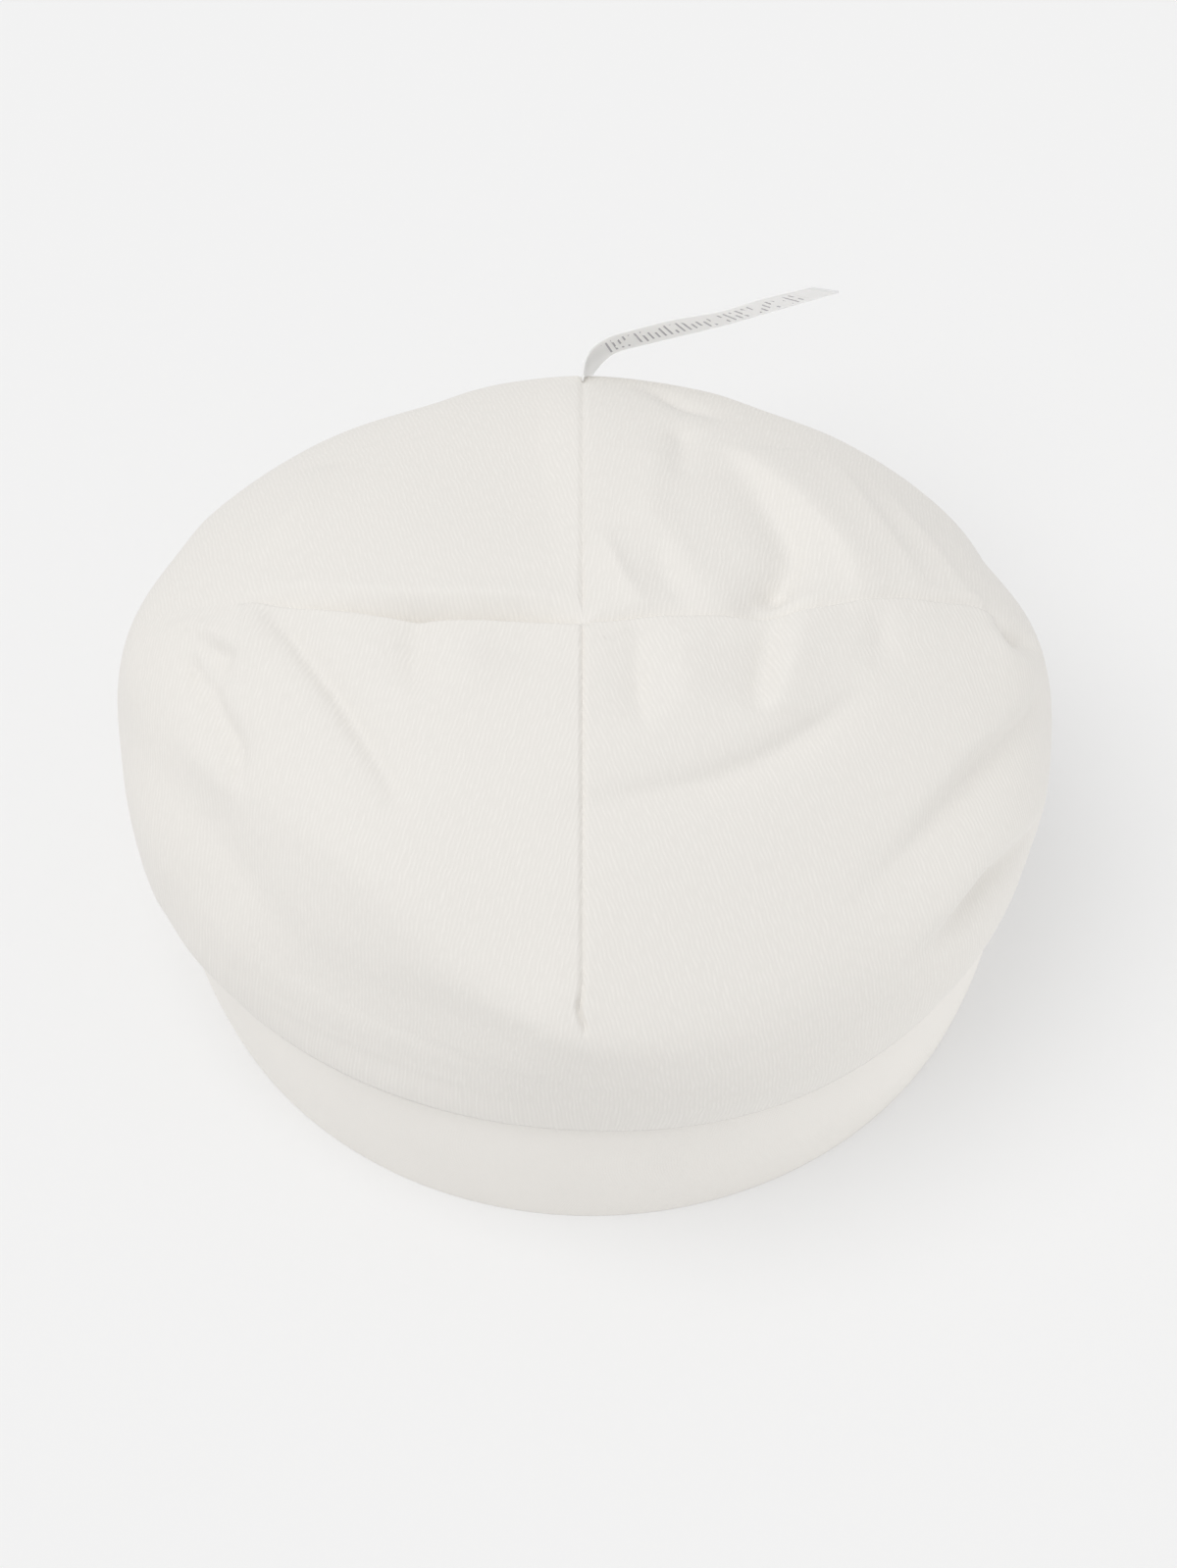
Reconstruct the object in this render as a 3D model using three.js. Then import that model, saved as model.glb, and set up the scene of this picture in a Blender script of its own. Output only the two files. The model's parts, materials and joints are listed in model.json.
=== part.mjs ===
// A baby's jersey cap resting on its rim. The crown is one cloth of fine rib jersey, closed over the top by a
// dart at the front, a dart at each side and a seam down the back. Under its hem sits a smooth band, folded
// double, and a care tape stands out of the back seam. Millimetres, +Z up, the front towards -Y.
// A place on the crown is given by its turn (degrees round from +X, the front at 270) and its level (a row of
// SECTIONS, 0 at the hem and 6 at the top, with parts of a row between).
import * as THREE from 'three';

const { degToRad, lerp, smoothstep } = THREE.MathUtils;

// Cloth thicknesses and the gap between pieces
const CROWN_WALL = 1.4;
const BAND_WALL = 2.0;
const TAPE_THICKNESS = 1.0;
const SEAT_GAP = 0.3;

// Level sections of the crown, from the hem to the top. The reaches run from the point under the seams'
// crossing, midX and midY place the widest line, and power shapes the section: 2 is an ellipse, less is more
// of a diamond with its corners at the seams.
const SECTIONS = [
  { height: 34.0, side: 77.0, front: 70.5, back: 71.0, midX: 1.0, midY: 2.0, power: 2.15 },
  { height: 43.0, side: 81.5, front: 73.5, back: 74.5, midX: 0.6, midY: 4.0, power: 2.05 },
  { height: 54.0, side: 82.5, front: 73.5, back: 74.5, midX: 0.0, midY: 6.0, power: 1.92 },
  { height: 66.0, side: 78.0, front: 66.0, back: 67.5, midX: 0.0, midY: 7.0, power: 1.76 },
  { height: 77.0, side: 63.0, front: 47.5, back: 50.5, midX: 0.0, midY: 5.0, power: 1.58 },
  { height: 84.0, side: 37.0, front: 23.0, back: 25.0, midX: 0.0, midY: 2.0, power: 1.45 },
  { height: 86.5, side: 0.0, front: 0.0, back: 0.0, midX: 0.0, midY: 0.0, power: 1.45 },
];
const TOP_LEVEL = SECTIONS.length - 1;
const POLE_LEVEL = 5.9; // the last ring below the top

// The band's foot on the surface, and how far its top is tucked up inside the hem
const FOOT = { side: 72.0, front: 68.5, back: 70.0, midX: 1.5 };
const BAND_TUCK = 4.0;
const BAND_BULGE = 1.2; // how far the outer face swells between foot and hem

// Seams and darts, from the crossing outwards: the cloth sinks in a round roll so wide on the left and right
// of the stitches, seen from outside. Each knot of a path is a turn, a level and the depth there.
const SEAMS = [
  { name: 'right dart', left: 2.6, right: 0.8,
    path: [[4, 6, 0.8], [4, 5.6, 0.8], [2.5, 5.2, 1.1], [3, 5.05, 1.5], [4, 4.85, 0.9], [5, 4.6, 0.6],
      [5, 4, 0.7], [5, 3.75, 0.7], [4, 3.45, 0]] },
  { name: 'back seam', left: 1.1, right: 1.1,
    path: [[90, 6, 0.6], [90, 4, 0.6], [90, 2, 0.8], [90, 0, 0.8]] },
  { name: 'left dart', left: 0.9, right: 5.0,
    path: [[176, 6, 1.6], [176, 5.85, 3.4], [178, 5.45, 5.2], [178, 5.25, 5], [177, 5, 3.6], [176, 4.78, 2],
      [175.5, 4.5, 1], [175.5, 4.1, 0]] },
  { name: 'front dart', left: 1.1, right: 0.8,
    path: [[270, 6, 0.8], [270, 5, 0.9], [270, 4, 0.9], [270, 3.3, 1], [269.5, 3.08, 1.4],
      [270.4, 2.78, 0]] },
];
const SEAM_TURNS = [4, 90, 177, 270];

// Folds and dents: left and right are a fold's half widths on the two sides of its path, seen from outside,
// and round is 1 for a soft swell and near 0 for a sharp crease. Each knot of a path is a turn, a level and
// the lift there: the height of a ridge or, below zero, the depth of a valley.
const FOLDS = [
  { name: 'roll behind the left dart', left: 3.5, right: 3.5, round: 0.8,
    path: [[172, 4.7, 0.3], [170, 5.02, 0.6], [166, 5.3, 0.8], [155, 5.54, 0.7], [124, 5.76, 0.2]] },
  { name: 'dip before the left dart', left: 4.5, right: 4.5, round: 1.0,
    path: [[192, 5.44, -0.5], [209, 5.62, -0.9], [235, 5.7, -0.6]] },
  { name: 'crease before the left dart', left: 1.8, right: 5.0, round: 0.1,
    path: [[180, 5.28, -1.4], [190, 5.18, -2.2], [201, 5.04, -1.7], [211, 4.9, 0]] },
  { name: 'bump before the left dart', left: 5.0, right: 5.0, round: 0.8,
    path: [[186, 5.46, 0.4], [208, 5.26, 0.7], [222, 5.08, 0]] },
  { name: 'crease from the left tip', left: 5.5, right: 1.9, round: 0.25,
    path: [[176, 4.3, 0], [181, 4.48, -1.8], [189, 4.54, -2.4], [198, 4.52, -2.6], [206, 4.46, -2.6],
      [216, 4.36, -2.2], [225, 4.24, -1.5], [233, 4.06, 0]] },
  { name: 'left ear edge', left: 5.0, right: 1.6, round: 0.35,
    path: [[174, 4.22, 0.6], [178, 4.24, 1.3], [182, 4.24, 1.4], [186, 4.14, 1], [189, 3.98, 0]] },
  { name: 'left ear crescent', left: 2.4, right: 1.4, round: 0.4,
    path: [[179, 3.45, 0.3], [178.5, 3.68, 1.4], [180, 3.88, 2], [182, 4.02, 1.8], [184, 4.12, 0.8]] },
  { name: 'left ear pocket', left: 3.0, right: 3.0, round: 0.8,
    path: [[183, 3.88, -1.2], [185, 3.96, -1.8], [187, 3.93, -1.4], [189, 3.86, -1]] },
  { name: 'left ear valley', left: 2.4, right: 4.0, round: 0.45,
    path: [[186, 3.8, -1.2], [189, 3.76, -1.9], [195, 3.74, -2.1], [201, 3.7, -2], [205, 3.54, -1.3],
      [207, 3.4, 0]] },
  { name: 'left lobe', left: 3.5, right: 3.5, round: 0.7, path: [[198, 3.3, 0.6], [204, 3.42, 1.2]] },
  { name: 'left fold crest', left: 2.2, right: 6.0, round: 0.4,
    path: [[187, 1.88, 0.6], [197, 2.54, 1.4], [206, 2.62, 1.4], [214, 2.6, 1.1], [222, 2.4, 0.8],
      [230, 2.1, 0.6], [238, 1.75, 0.4], [246, 1.3, 0]] },
  { name: 'left fold valley', left: 10.0, right: 3.2, round: 0.5,
    path: [[188, 2.38, -1.8], [197, 2.76, -2.8], [207, 2.88, -3.1], [215, 2.82, -3.1], [223, 2.62, -3],
      [231, 2.35, -2.7], [239, 2, -2.2], [246, 1.55, -1.5], [252, 1.1, 0]] },
  { name: 'low front hollow', left: 10.0, right: 12.0, round: 1.0,
    path: [[228, 1.3, 0], [238, 1.4, -1.5], [248, 1.45, -2.2], [258, 1.45, -2.4], [266, 1.4, -2.2],
      [274, 1.35, -1.6], [284, 1.3, -0.8], [296, 1.3, 0]] },
  { name: 'crest at the front tip', left: 11.0, right: 6.0, round: 0.45,
    path: [[234, 2.6, 0], [240, 2.78, 0.9], [249, 2.94, 2], [258, 3, 2.8], [264, 2.92, 3.2],
      [268, 2.78, 3.1], [273, 2.66, 2.2], [281, 2.55, 1.2], [291, 2.48, 0.5], [305, 2.44, 0]] },
  { name: 'valley right of the crossing', left: 2.2, right: 5.0, round: 0.15,
    path: [[359, 5.78, -0.5], [327, 5.6, -1.5], [308, 5.38, -2], [299, 5.16, -1.4], [295, 4.96, 0]] },
  { name: 'ridge right of the crossing', left: 6.0, right: 4.0, round: 0.6,
    path: [[359, 5.58, 0.4], [337, 5.4, 0.8], [322, 5.16, 0.9], [313, 4.9, 0]] },
  { name: 'stripe before the right dart', left: 2.0, right: 5.0, round: 0.15,
    path: [[359, 5.12, -1.2], [351, 5.08, -2.2], [342, 4.98, -2.4], [333, 4.84, -1.6], [327, 4.74, 0]] },
  { name: 'knob before the right dart', left: 6.0, right: 3.0, round: 0.4,
    path: [[360, 4.98, 0.8], [352, 4.94, 1.2], [343, 4.84, 1.5], [334, 4.72, 1.2], [329, 4.64, 0]] },
  { name: 'curved front valley', left: 3.5, right: 5.5, round: 0.4,
    path: [[272, 4.56, -0.8], [288, 4.56, -1.6], [302, 4.5, -2], [315, 4.46, -2.2], [328, 4.43, -2.1],
      [338, 4.4, -1.3], [347, 4.36, 0]] },
  { name: 'dip under the right dart', left: 3.5, right: 3.5, round: 0.6,
    path: [[360, 4.52, -0.8], [355, 4.46, -0.9], [348, 4.38, 0]] },
  { name: 'right fold crest', left: 2.4, right: 6.0, round: 0.4,
    path: [[357, 2.7, 0.6], [345, 3.26, 1.3], [339, 3.38, 1.2], [331, 3.42, 0.7], [321, 3.4, 0]] },
  { name: 'right fold valley', left: 7.0, right: 3.4, round: 0.5,
    path: [[355, 2.7, -2.2], [342, 3.14, -3.2], [334, 3.22, -3], [325, 3.2, -2.1], [317, 3.18, -1.1],
      [308, 3.1, 0]] },
  { name: 'lower right crest', left: 2.4, right: 7.0, round: 0.4,
    path: [[345, 1.8, 0.6], [334, 2.34, 1.5], [326, 2.4, 1.3], [320, 2.38, 0.7], [312, 2.3, 0]] },
  { name: 'lower right hollow', left: 6.0, right: 3.0, round: 0.6,
    path: [[341, 1.6, -2], [332, 2.05, -3.4], [325, 2.1, -2.8], [315, 2.1, 0]] },
  { name: 'right ear edge', left: 2.0, right: 5.0, round: 0.4,
    path: [[6, 3.6, 0.6], [3, 3.55, 1], [-1, 3.42, 1.2], [-1, 3.2, 0.8], [0, 2.85, 0.2]] },
  { name: 'right ear pocket', left: 2.2, right: 2.2, round: 0.5,
    path: [[4, 3.5, -0.6], [2, 3.42, -1.5], [1, 3.25, -2.4], [2, 2.95, -1.5], [3, 2.7, 0]] },
  { name: 'ridge behind the right dart', left: 9.0, right: 3.0, round: 0.5,
    path: [[56, 3.95, 0], [50, 4.14, 1.1], [31, 4.38, 1.9], [17, 4.56, 1.9], [8, 4.64, 1.1]] },
  { name: 'hollow behind the right dart', left: 3.5, right: 5.0, round: 0.6,
    path: [[52, 4.25, -0.6], [49, 4.35, -1.2], [30, 4.7, -2.2], [14, 4.9, -2.6]] },
  { name: 'pocket in the right dart', left: 3.0, right: 3.0, round: 0.6,
    path: [[13, 4.88, -1.4], [10, 5, -2.4], [7, 5.16, -1.8]] },
  { name: 'back right pleat', left: 2.2, right: 5.0, round: 0.5,
    path: [[43, 3.4, 0], [33, 3.72, 0.7], [21, 3.96, 0.8], [8, 4.08, 0.3]] },
  { name: 'back right small pleat', left: 2.2, right: 3.5, round: 0.5,
    path: [[33, 3.35, 0], [23, 3.58, 0.6], [13, 3.68, 0.6], [7, 3.7, 0.2]] },
  { name: 'streak beside the back seam', left: 2.5, right: 2.5, round: 0.5,
    path: [[86, 5.2, 0], [80, 5.4, 0.8], [66, 5.58, 1], [20, 5.78, 0.5]] },
  { name: 'hollow beside the streak', left: 3.0, right: 3.0, round: 0.7,
    path: [[65, 5.1, -0.6], [42, 5.5, -1.2], [10, 5.64, -0.9]] },
  { name: 'back right swell', left: 4.5, right: 4.5, round: 0.8,
    path: [[70, 4.4, 0.5], [63, 4.88, 0.9], [40, 5.18, 0.9], [21, 5.26, 0.4]] },
  { name: 'back right hollow', left: 3.0, right: 3.0, round: 0.7,
    path: [[67, 4.02, -1.3], [63, 4.36, -0.7]] },
  { name: 'back right dent', left: 3.0, right: 3.0, round: 0.7,
    path: [[77, 3.24, -1], [71, 3.44, -1.6], [65, 3.52, -0.8]] },
  { name: 'back left ridge', left: 4.0, right: 4.0, round: 0.5,
    path: [[140, 3.45, 0], [144, 3.6, 0.8], [152, 3.82, 1.2], [158, 3.9, 0.8], [166, 3.95, 0]] },
  { name: 'back right drape', left: 8.0, right: 8.0, round: 0.8,
    path: [[64, 2.9, 0], [58, 2, -2], [54, 1.2, -2], [52, 0.5, 0]] },
  { name: 'back left drape', left: 8.0, right: 8.0, round: 0.8,
    path: [[112, 3, 0], [118, 2.1, -1.8], [122, 1.2, -1.8], [124, 0.5, 0]] },
  { name: 'left side drape', left: 8.0, right: 8.0, round: 0.8,
    path: [[158, 2.8, 0], [162, 2, -1.8], [166, 1.1, -1.8], [167, 0.4, 0]] },
  { name: 'right side drape', left: 8.0, right: 8.0, round: 0.8,
    path: [[24, 2.8, 0], [19, 2, -1.8], [16, 1.1, -1.8], [14, 0.4, 0]] },
];
const FOLD_REACH = [1.5, 4.0]; // widths from its path between which a fold runs out
const HEM_CALM = 0.7; // levels above the hem over which folds die out
const FACET = 3.2; // about half a facet: what is narrower than the facets is drawn wider, and lower to match

// The care tape: sewn along the back seam, it stands out, bends to the right and runs on nearly straight. Its
// width starts along the seam and turns from there: at a length out from the root, tilt is its slope down to
// the back in degrees, and lean its turn to the right.
const TAPE = { width: 24, stand: 3, bend: 5, bendTurn: 74, run: 42, seamTop: 3.2, rootGap: 0.35 };
const TAPE_STRAIGHTENS = 10; // length from the root over which the seam's curve goes out of its width
const TAPE_TILT = [[10, 58], [30, 58], [51, 53.3]];
const TAPE_LEAN = [[0, 0], [10, 0.075], [26, 0.155], [51, 0.27]];
const TAPE_STEPS = 16;
const TAPE_COLUMNS = 5;

// Fineness of the faceted walls
const COLUMNS_PER_PANEL = 20;
const COLUMN_CROWDING = 0.62; // draws the columns towards the seams: 0 is even, 1 is closest
const RINGS = 28;
const PATH_SAMPLES = 6; // points between two knots of a path
const BAND_COLUMNS = 72;
const BAND_SHARES = [0, 0.12, 0.35, 0.65, 0.9, 1]; // places on its outer face, from foot to hem

const cotton = (color) => new THREE.MeshStandardMaterial({ color, roughness: 0.95, metalness: 0 });
const JERSEY = cotton(0xebe8e2);
const SMOOTH_JERSEY = cotton(0xe8e5df);
const TAPE_SATIN = new THREE.MeshStandardMaterial({ color: 0xf2f2f0, roughness: 0.6, metalness: 0 });

// A smooth curve through evenly numbered values, read at a place between their numbers
function curveValue(values, at) {
  const last = values.length - 1;
  const row = Math.min(Math.floor(at), last - 1);
  const from = values[row];
  const to = values[row + 1];
  const before = row > 0 ? values[row - 1] : 2 * from - to;
  const after = row + 2 <= last ? values[row + 2] : 2 * to - from;
  const t = at - row;
  const slope = (to - before) * t;
  const bow = (2 * before - 5 * from + 4 * to - after) * t * t;
  const twist = (3 * from - before - 3 * to + after) * t * t * t;
  return from + 0.5 * (slope + bow + twist);
}

// A table of places and values, read between its rows in straight steps
function tableValue(table, at) {
  const row = table.findIndex(([place]) => place >= at);
  if (row === 0) return table[0][1];
  if (row < 0) return table[table.length - 1][1];
  const [placeFrom, valueFrom] = table[row - 1];
  const [placeTo, valueTo] = table[row];
  return lerp(valueFrom, valueTo, (at - placeFrom) / (placeTo - placeFrom));
}

const sectionColumn = (name) => SECTIONS.map((section) => section[name]);
const COLUMNS = Object.fromEntries(Object.keys(SECTIONS[0]).map((name) => [name, sectionColumn(name)]));

function crownPoint(turn, level) {
  const at = (name) => curveValue(COLUMNS[name], level);
  const angle = degToRad(turn);
  const across = Math.cos(angle);
  const along = Math.sin(angle);
  const depth = along > 0 ? at('back') - at('midY') : at('front') + at('midY');
  const power = at('power');
  const spread = Math.abs(across / at('side')) ** power + Math.abs(along / depth) ** power;
  const radius = spread ** (-1 / power);
  return new THREE.Vector3(at('midX') + radius * across, at('midY') + radius * along, at('height'));
}

function crownNormal(turn, level) {
  const turnStep = 0.5;
  const levelStep = 0.02;
  const round = crownPoint(turn + turnStep, level).sub(crownPoint(turn - turnStep, level));
  const upper = crownPoint(turn, Math.min(level + levelStep, POLE_LEVEL));
  const lower = crownPoint(turn, Math.max(level - levelStep, 0));
  return round.cross(upper.sub(lower)).normalize();
}

// A path's knots as a fine line of points on the plain crown, with the knots' third value at each
function layPath(knots) {
  const nearTop = TOP_LEVEL - 0.01;
  const columns = [0, 1, 2].map((column) => knots.map((knot) => knot[column]));
  const points = [];
  const values = [];
  for (let step = 0; step <= (knots.length - 1) * PATH_SAMPLES; step += 1) {
    const [turn, level, value] = columns.map((column) => curveValue(column, step / PATH_SAMPLES));
    points.push(crownPoint(turn, Math.min(level, nearTop)));
    values.push(value);
  }
  return { points, values };
}

// The nearest place on a laid path: its distance, the path's value there, and the side that the point is on,
// from 0 on the right to 1 on the left
function nearestOnPath({ points, values }, point, normal) {
  const best = { distance: Infinity, value: 0, side: 0.5 };
  const segment = new THREE.Line3();
  const foot = new THREE.Vector3();
  for (let index = 1; index < points.length; index += 1) {
    segment.set(points[index - 1], points[index]);
    const share = segment.closestPointToPointParameter(point, true);
    segment.at(share, foot);
    const distance = foot.distanceTo(point);
    if (distance < best.distance) {
      best.distance = distance;
      best.value = lerp(values[index - 1], values[index], share);
      const heading = segment.delta(new THREE.Vector3()).normalize();
      const leftward = new THREE.Vector3().crossVectors(normal, heading);
      best.side = distance > 0 ? 0.5 + (0.5 * leftward.dot(foot.subVectors(point, foot))) / distance : 0.5;
    }
  }
  return best;
}

// A seam or fold made ready: its path laid on the crown, and its widths and height drawn to suit the facets
function layRow(row) {
  const left = Math.hypot(row.left, FACET);
  const right = Math.hypot(row.right, FACET);
  return { ...row, laid: layPath(row.path), left, right, height: (row.left + row.right) / (left + right) };
}

const laidSeams = SEAMS.map(layRow);
const laidFolds = FOLDS.map(layRow);

// How far the cloth stands out from the plain crown at a place. Seams don't add up where they cross.
function clothLift(point, normal, level) {
  let sunk = 0;
  for (const { left, right, height, laid } of laidSeams) {
    const { distance, value, side } = nearestOnPath(laid, point, normal);
    const reach = Math.min(distance / lerp(right, left, side), 1);
    sunk = Math.max(sunk, value * height * (1 - Math.sin((Math.PI / 2) * reach)));
  }
  let lift = -sunk;
  for (const { left, right, round, height, laid } of laidFolds) {
    const { distance, value, side } = nearestOnPath(laid, point, normal);
    const reach = distance / lerp(right, left, side);
    const fall = 1 / (Math.hypot(1, round) - round);
    const profile = Math.exp(-fall * (Math.hypot(reach, round) - round));
    lift += value * height * profile * (1 - smoothstep(reach, ...FOLD_REACH));
  }
  return lift * smoothstep(level, 0, HEM_CALM);
}

// A place on the finished crown: the outer face, or the inner one a wall's thickness below it
function clothPoint(turn, level, below = 0) {
  const point = crownPoint(turn, level);
  const normal = crownNormal(turn, level);
  return point.addScaledVector(normal, clothLift(point.clone(), normal, level) - below);
}

// Turns of the crown's columns: each panel runs from one seam to the next, with its columns drawn to both
function columnTurns() {
  const turns = [];
  SEAM_TURNS.forEach((start, panel) => {
    const next = SEAM_TURNS[(panel + 1) % SEAM_TURNS.length];
    const span = next > start ? next - start : next + 360 - start;
    for (let column = 0; column < COLUMNS_PER_PANEL; column += 1) {
      const share = column / COLUMNS_PER_PANEL;
      const drawn = share - (COLUMN_CROWDING * Math.sin(2 * Math.PI * share)) / (2 * Math.PI);
      turns.push(start + span * drawn);
    }
  });
  return turns;
}

// Levels of the crown's rings, evenly spaced along the cloth at the middle of a front panel
function ringLevels() {
  const fine = 300;
  const middleTurn = 315;
  const lengths = [0];
  for (let index = 1; index <= fine; index += 1) {
    const here = crownPoint(middleTurn, (POLE_LEVEL * index) / fine);
    const last = crownPoint(middleTurn, (POLE_LEVEL * (index - 1)) / fine);
    lengths.push(lengths[index - 1] + here.distanceTo(last));
  }
  const levels = [];
  for (let ring = 0; ring < RINGS; ring += 1) {
    const wanted = (lengths[fine] * ring) / (RINGS - 1);
    const index = lengths.findIndex((length) => length >= wanted - 1e-9);
    levels.push((POLE_LEVEL * index) / fine);
  }
  return levels;
}

// Collects points and triangles into one closed geometry
class Skin {
  constructor() {
    this.positions = [];
    this.triangles = [];
  }

  addPoint(point) {
    this.positions.push(point.x, point.y, point.z);
    return this.positions.length / 3 - 1;
  }

  addQuad(a, b, c, d) {
    this.triangles.push(a, b, c, a, c, d);
  }

  toGeometry() {
    const geometry = new THREE.BufferGeometry();
    geometry.setAttribute('position', new THREE.Float32BufferAttribute(this.positions, 3));
    geometry.setIndex(this.triangles);
    geometry.computeVertexNormals();
    return geometry;
  }
}

// The crown: an outer and an inner wall of rings from the hem to the pole, joined round the hem
function crownGeometry() {
  const skin = new Skin();
  const turns = columnTurns();
  const levels = ringLevels();
  const walls = [0, CROWN_WALL].map((below) => {
    const rings = levels.map((level) => turns.map((turn) => skin.addPoint(clothPoint(turn, level, below))));
    const crossing = new THREE.Vector3(0, 0, SECTIONS[TOP_LEVEL].height);
    const up = new THREE.Vector3(0, 0, 1);
    crossing.z += clothLift(crossing, up, TOP_LEVEL) - below;
    return { rings, pole: skin.addPoint(crossing) };
  });
  const [outer, inner] = walls;
  turns.forEach((_, column) => {
    const next = (column + 1) % turns.length;
    for (let ring = 0; ring < levels.length - 1; ring += 1) {
      const [low, high] = [outer.rings[ring], outer.rings[ring + 1]];
      skin.addQuad(low[column], low[next], high[next], high[column]);
      const [lowIn, highIn] = [inner.rings[ring], inner.rings[ring + 1]];
      skin.addQuad(lowIn[next], lowIn[column], highIn[column], highIn[next]);
    }
    const last = outer.rings[levels.length - 1];
    skin.triangles.push(last[column], last[next], outer.pole);
    const lastIn = inner.rings[levels.length - 1];
    skin.triangles.push(lastIn[next], lastIn[column], inner.pole);
    const hem = outer.rings[0];
    const hemIn = inner.rings[0];
    skin.addQuad(hem[next], hem[column], hemIn[column], hemIn[next]);
  });
  return skin.toGeometry();
}

function footPoint(turn) {
  const angle = degToRad(turn);
  const depth = Math.sin(angle) > 0 ? FOOT.back : FOOT.front;
  return new THREE.Vector3(FOOT.midX + FOOT.side * Math.cos(angle), depth * Math.sin(angle), 0);
}

// The band: a ring whose outer face rises from the foot to just inside the crown's hem and goes on up into it
function bandGeometry() {
  const skin = new Skin();
  const loops = [];
  for (let column = 0; column < BAND_COLUMNS; column += 1) {
    const turn = (360 * column) / BAND_COLUMNS;
    const foot = footPoint(turn);
    const hem = crownPoint(turn, 0);
    const outward = new THREE.Vector3(hem.x - SECTIONS[0].midX, hem.y - SECTIONS[0].midY, 0).normalize();
    hem.addScaledVector(outward, -(CROWN_WALL + SEAT_GAP));
    const face = BAND_SHARES.map((share) => {
      const swell = BAND_BULGE * Math.sin(Math.PI * share);
      return foot.clone().lerp(hem, share).addScaledVector(outward, swell);
    });
    face.push(hem.clone().setZ(hem.z + BAND_TUCK));
    const back = face.map((point) => point.clone().addScaledVector(outward, -BAND_WALL)).reverse();
    loops.push([...face, ...back].map((point) => skin.addPoint(point)));
  }
  loops.forEach((loop, column) => {
    const beside = loops[(column + 1) % BAND_COLUMNS];
    loop.forEach((_, index) => {
      const after = (index + 1) % loop.length;
      skin.addQuad(loop[index], beside[index], beside[after], loop[after]);
    });
  });
  return skin.toGeometry();
}

// The care tape's way out from the seam, seen along its width: out, round the bend and on to the right
function tapeRoute() {
  const route = new THREE.Path();
  const endTurn = Math.PI - degToRad(TAPE.bendTurn);
  route.moveTo(0, 0);
  route.lineTo(0, TAPE.stand);
  route.absarc(TAPE.bend, TAPE.stand, TAPE.bend, Math.PI, endTurn, true);
  const heading = new THREE.Vector2(Math.sin(endTurn), -Math.cos(endTurn));
  const bent = route.currentPoint.clone();
  route.lineTo(bent.x + TAPE.run * heading.x, bent.y + TAPE.run * heading.y);
  return route;
}

// The tape's root: points just off the back seam over the tape's width, from its top downwards
function tapeRoots() {
  const fine = 0.01;
  const seamPoint = (level) => clothPoint(90, level, -TAPE.rootGap);
  const roots = [seamPoint(TAPE.seamTop)];
  let level = TAPE.seamTop;
  let covered = 0;
  while (roots.length < TAPE_COLUMNS) {
    covered += seamPoint(level).distanceTo(seamPoint(level - fine));
    level -= fine;
    if (covered >= (TAPE.width * roots.length) / (TAPE_COLUMNS - 1)) roots.push(seamPoint(level));
  }
  return roots;
}

function labelGeometry() {
  const route = tapeRoute();
  const routeLength = route.getLength();
  const roots = tapeRoots();
  const lastColumn = TAPE_COLUMNS - 1;
  const chord = roots[lastColumn].clone().sub(roots[0]);
  const middle = roots[0].clone().lerp(roots[lastColumn], 0.5);
  const rootTilt = Math.atan2(-chord.z, chord.y);
  const tilts = [[0, THREE.MathUtils.radToDeg(rootTilt)], ...TAPE_TILT];
  const right = new THREE.Vector3(1, 0, 0);
  const outward = new THREE.Vector3(0, Math.sin(rootTilt), Math.cos(rootTilt));
  const skin = new Skin();
  const faces = [-0.5, 0.5].map((side) => {
    const rows = [];
    for (let step = 0; step <= TAPE_STEPS; step += 1) {
      const share = step / TAPE_STEPS;
      const gone = share * routeLength;
      const place = route.getPointAt(share);
      const heading = route.getTangentAt(share);
      const offset = new THREE.Vector2(-heading.y, heading.x).multiplyScalar(side * TAPE_THICKNESS);
      const tilt = degToRad(tableValue(tilts, gone));
      const widthWay = new THREE.Vector3(tableValue(TAPE_LEAN, gone), Math.cos(tilt), -Math.sin(tilt));
      widthWay.normalize();
      const straight = smoothstep(gone, 0, TAPE_STRAIGHTENS);
      rows.push(roots.map((root, column) => {
        const across = (column / lastColumn - 0.5) * TAPE.width;
        const point = root.clone().lerp(middle.clone().addScaledVector(widthWay, across), straight);
        point.addScaledVector(right, place.x + offset.x).addScaledVector(outward, place.y + offset.y);
        return skin.addPoint(point);
      }));
    }
    return rows;
  });
  const [front, back] = faces;
  for (let step = 0; step < TAPE_STEPS; step += 1) {
    const [here, there] = [front[step], front[step + 1]];
    const [hereBack, thereBack] = [back[step], back[step + 1]];
    for (let column = 0; column < lastColumn; column += 1) {
      skin.addQuad(here[column], here[column + 1], there[column + 1], there[column]);
      skin.addQuad(hereBack[column + 1], hereBack[column], thereBack[column], thereBack[column + 1]);
    }
    skin.addQuad(hereBack[0], here[0], there[0], thereBack[0]);
    skin.addQuad(here[lastColumn], hereBack[lastColumn], thereBack[lastColumn], there[lastColumn]);
  }
  const [root, rootBack] = [front[0], back[0]];
  const [end, endBack] = [front[TAPE_STEPS], back[TAPE_STEPS]];
  for (let column = 0; column < lastColumn; column += 1) {
    skin.addQuad(rootBack[column], rootBack[column + 1], root[column + 1], root[column]);
    skin.addQuad(end[column], end[column + 1], endBack[column + 1], endBack[column]);
  }
  return skin.toGeometry();
}

function addPiece(cap, name, geometry, material) {
  const piece = new THREE.Mesh(geometry, material);
  piece.name = name;
  cap.add(piece);
}

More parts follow.
